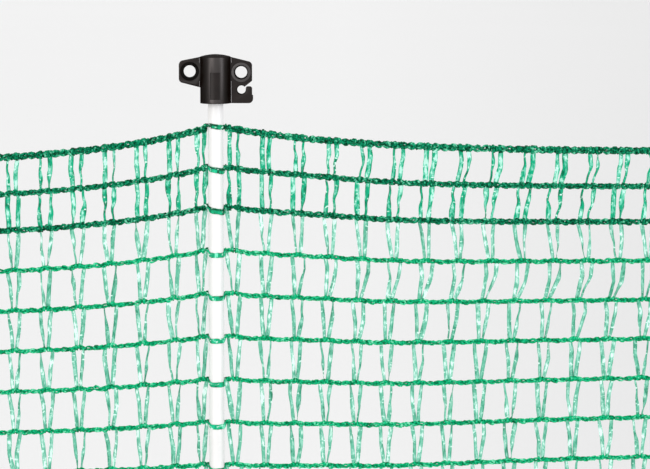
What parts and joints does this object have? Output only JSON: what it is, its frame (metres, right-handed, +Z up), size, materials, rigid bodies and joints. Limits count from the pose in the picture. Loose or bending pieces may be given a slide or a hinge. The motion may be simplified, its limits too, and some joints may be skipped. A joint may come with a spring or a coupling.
{
  "type": "net fence",
  "caption": "Knitted net fence section: netting of cords and paired film tapes hung on round white push-in posts with black eyelet heads.",
  "frame": {"origin": "on the axis of the centre post, at ground level, where the spike meets the underside of the foot", "axes": "+Z up along the post; +X along the fence, towards the right bay seen from the front; the front, with the blank panel of each head, faces -Y"},
  "size_m": [1.9893, 0.034, 0.8962],
  "materials": {
    "post_plastic": "smooth white extruded plastic",
    "black_plastic": "moulded black plastic, satin",
    "spike_steel": "drawn and zinc plated",
    "dark_cord": "knitted dark green film tape, slightly glossy",
    "green_cord": "knitted mid green film tape, slightly glossy",
    "bright_tape": "crinkled bright green film tape",
    "pale_tape": "crinkled thin pale green film tape"
  },
  "bodies": {
    "centre_post": {"centre_tube": "post_plastic", "centre_head": "black_plastic", "centre_foot": "black_plastic", "centre_spike": "spike_steel"},
    "centre_loops": {"centre_loop_bands": "bright_tape", "centre_loop_chains": "dark_cord"},
    "left_post": {"left_tube": "post_plastic", "left_head": "black_plastic", "left_foot": "black_plastic", "left_spike": "spike_steel"},
    "left_loops": {"left_loop_bands": "bright_tape", "left_loop_chains": "dark_cord"},
    "right_post": {"right_tube": "post_plastic", "right_head": "black_plastic", "right_foot": "black_plastic", "right_spike": "spike_steel"},
    "right_loops": {"right_loop_bands": "bright_tape", "right_loop_chains": "dark_cord"},
    "left_bay_inner": {"left_inner_top_cord": "dark_cord", "left_inner_strong_cords": "dark_cord", "left_inner_row_cords": "green_cord", "left_inner_bottom_cord": "dark_cord", "left_inner_strong_tapes": "bright_tape", "left_inner_row_tapes": "pale_tape"},
    "left_bay_outer": {"left_outer_top_cord": "dark_cord", "left_outer_strong_cords": "dark_cord", "left_outer_row_cords": "green_cord", "left_outer_bottom_cord": "dark_cord", "left_outer_strong_tapes": "bright_tape", "left_outer_row_tapes": "pale_tape"},
    "right_bay_inner": {"right_inner_top_cord": "dark_cord", "right_inner_strong_cords": "dark_cord", "right_inner_row_cords": "green_cord", "right_inner_bottom_cord": "dark_cord", "right_inner_strong_tapes": "bright_tape", "right_inner_row_tapes": "pale_tape"},
    "right_bay_outer": {"right_outer_top_cord": "dark_cord", "right_outer_strong_cords": "dark_cord", "right_outer_row_cords": "green_cord", "right_outer_bottom_cord": "dark_cord", "right_outer_strong_tapes": "bright_tape", "right_outer_row_tapes": "pale_tape"}
  },
  "joints": [
    {"name": "centre_net_slide", "type": "slide", "parent": "centre_post", "child": "centre_loops", "axis": [0, 0, 1], "range_m": [-0.006, 0.018]},
    {"name": "left_bay_swing", "type": "hinge", "parent": "centre_loops", "child": "left_bay_inner", "pos_m": [0, 0, 0], "axis": [0, 0, 1], "range_deg": [-70, 70]},
    {"name": "left_bay_fold", "type": "hinge", "parent": "left_bay_inner", "child": "left_bay_outer", "pos_m": [-0.48, -0.0032, 0], "axis": [0, 0, 1], "range_deg": [0, 170]},
    {"name": "left_end_swing", "type": "hinge", "parent": "left_bay_outer", "child": "left_loops", "pos_m": [-0.96, 0, 0], "axis": [0, 0, 1], "range_deg": [-70, 70]},
    {"name": "left_post_slide", "type": "slide", "parent": "left_loops", "child": "left_post", "axis": [0, 0, 1], "range_m": [-0.018, 0.006]},
    {"name": "right_bay_swing", "type": "hinge", "parent": "centre_loops", "child": "right_bay_inner", "pos_m": [0, 0, 0], "axis": [0, 0, 1], "range_deg": [-70, 70]},
    {"name": "right_bay_fold", "type": "hinge", "parent": "right_bay_inner", "child": "right_bay_outer", "pos_m": [0.48, 0.0032, 0], "axis": [0, 0, 1], "range_deg": [0, 170]},
    {"name": "right_end_swing", "type": "hinge", "parent": "right_bay_outer", "child": "right_loops", "pos_m": [0.96, 0, 0], "axis": [0, 0, 1], "range_deg": [-70, 70]},
    {"name": "right_post_slide", "type": "slide", "parent": "right_loops", "child": "right_post", "axis": [0, 0, 1], "range_m": [-0.018, 0.006]}
  ]
}
